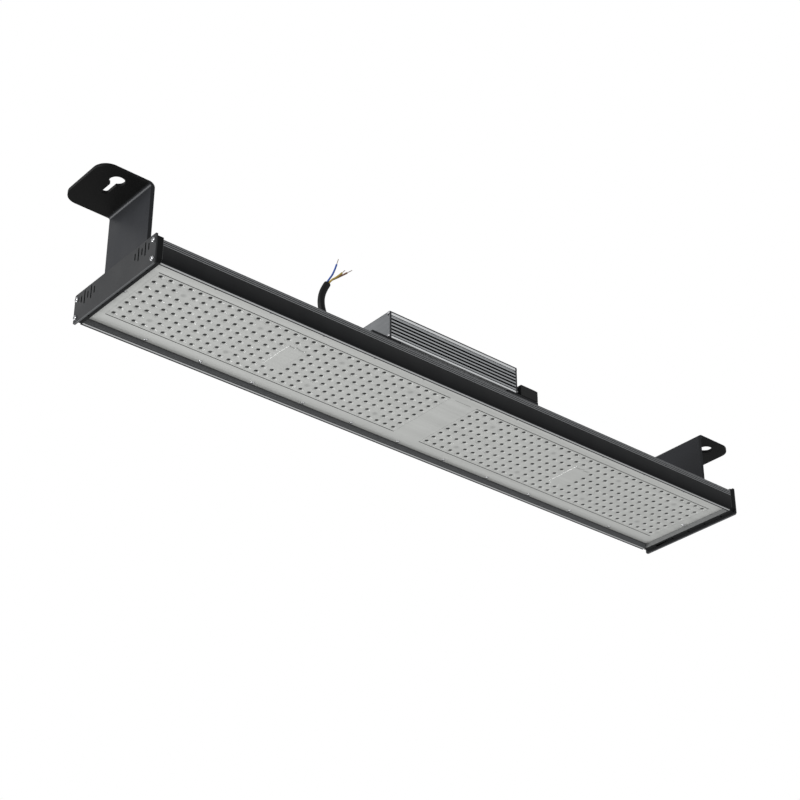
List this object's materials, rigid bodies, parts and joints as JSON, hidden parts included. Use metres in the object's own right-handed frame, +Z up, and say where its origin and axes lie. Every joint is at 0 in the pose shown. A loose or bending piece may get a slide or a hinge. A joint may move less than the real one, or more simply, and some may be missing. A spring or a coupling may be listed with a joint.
{
  "type": "linear led high bay light",
  "caption": "Long flat LED high bay light: black extruded heat sink, dimpled lens panel below, ribbed driver on top, vented end plates and hanging brackets with keyholes.",
  "frame": {"origin": "middle of the floor rectangle under the light, on the bottom edges of the end plates, without the cable and its wires", "axes": "+X along the light towards the junction box end, +Y across it, away from the keyholes' round ends, +Z up towards the hanging brackets"},
  "size_m": [1.244, 0.196, 0.239],
  "materials": {
    "heat_sink_black": "black anodised aluminium extrusion, satin",
    "end_cap_black": "black powder-coated casting, satin",
    "plate_black": "black powder-coated sheet steel, fine texture",
    "bracket_black": "black powder-coated sheet steel, satin",
    "lens_clear": "moulded polycarbonate over a white board, light grey, satin",
    "gasket_black": "black silicone foam",
    "board_white": "white solder mask on an aluminium board",
    "screw_steel": "zinc-plated steel, bright",
    "screw_black": "blackened steel, glossy",
    "driver_aluminium": "natural anodised extrusion, satin",
    "driver_end_grey": "grey coated sheet, matte",
    "circuit_green": "green solder mask",
    "part_dark": "dark moulded electronic parts",
    "box_black": "black moulded plastic, matte",
    "gland_black": "black nylon",
    "cable_black": "black rubber sheath, matte",
    "wire_blue": "blue insulation",
    "wire_yellow_green": "yellow and green insulation",
    "wire_brown": "brown insulation",
    "copper": "bare copper strands"
  },
  "bodies": {
    "root": {"housing": "heat_sink_black", "lens_panel": "lens_clear", "lens_gasket": "gasket_black", "lens_screws": "screw_steel", "led_board_left": "board_white", "led_board_right": "board_white", "led_board_screws": "screw_steel", "end_cap_left": "end_cap_black", "end_cap_right": "end_cap_black", "end_plate_left": "plate_black", "end_plate_right": "plate_black", "end_plate_screws_left": "screw_black", "end_plate_screws_right": "screw_black", "hanging_bracket_left": "bracket_black", "hanging_bracket_right": "bracket_black", "bracket_screws": "screw_black", "driver_stand_left": "bracket_black", "driver_stand_right": "bracket_black", "driver_stand_screws": "screw_black", "driver_case": "driver_aluminium", "driver_end_left": "driver_end_grey", "driver_end_right": "driver_end_grey", "driver_screws": "screw_steel", "driver_circuit_board": "circuit_green", "driver_transformer": "part_dark", "driver_capacitors": "part_dark", "junction_box": "box_black", "junction_box_lid": "box_black", "cable_gland": "gland_black", "output_gland": "gland_black", "mains_cable": "cable_black", "wire_blue": "wire_blue", "wire_yellow_green": "wire_yellow_green", "wire_brown": "wire_brown", "copper_strands_blue": "copper", "copper_strands_yellow_green": "copper", "copper_strands_brown": "copper"}
  },
  "joints": []
}
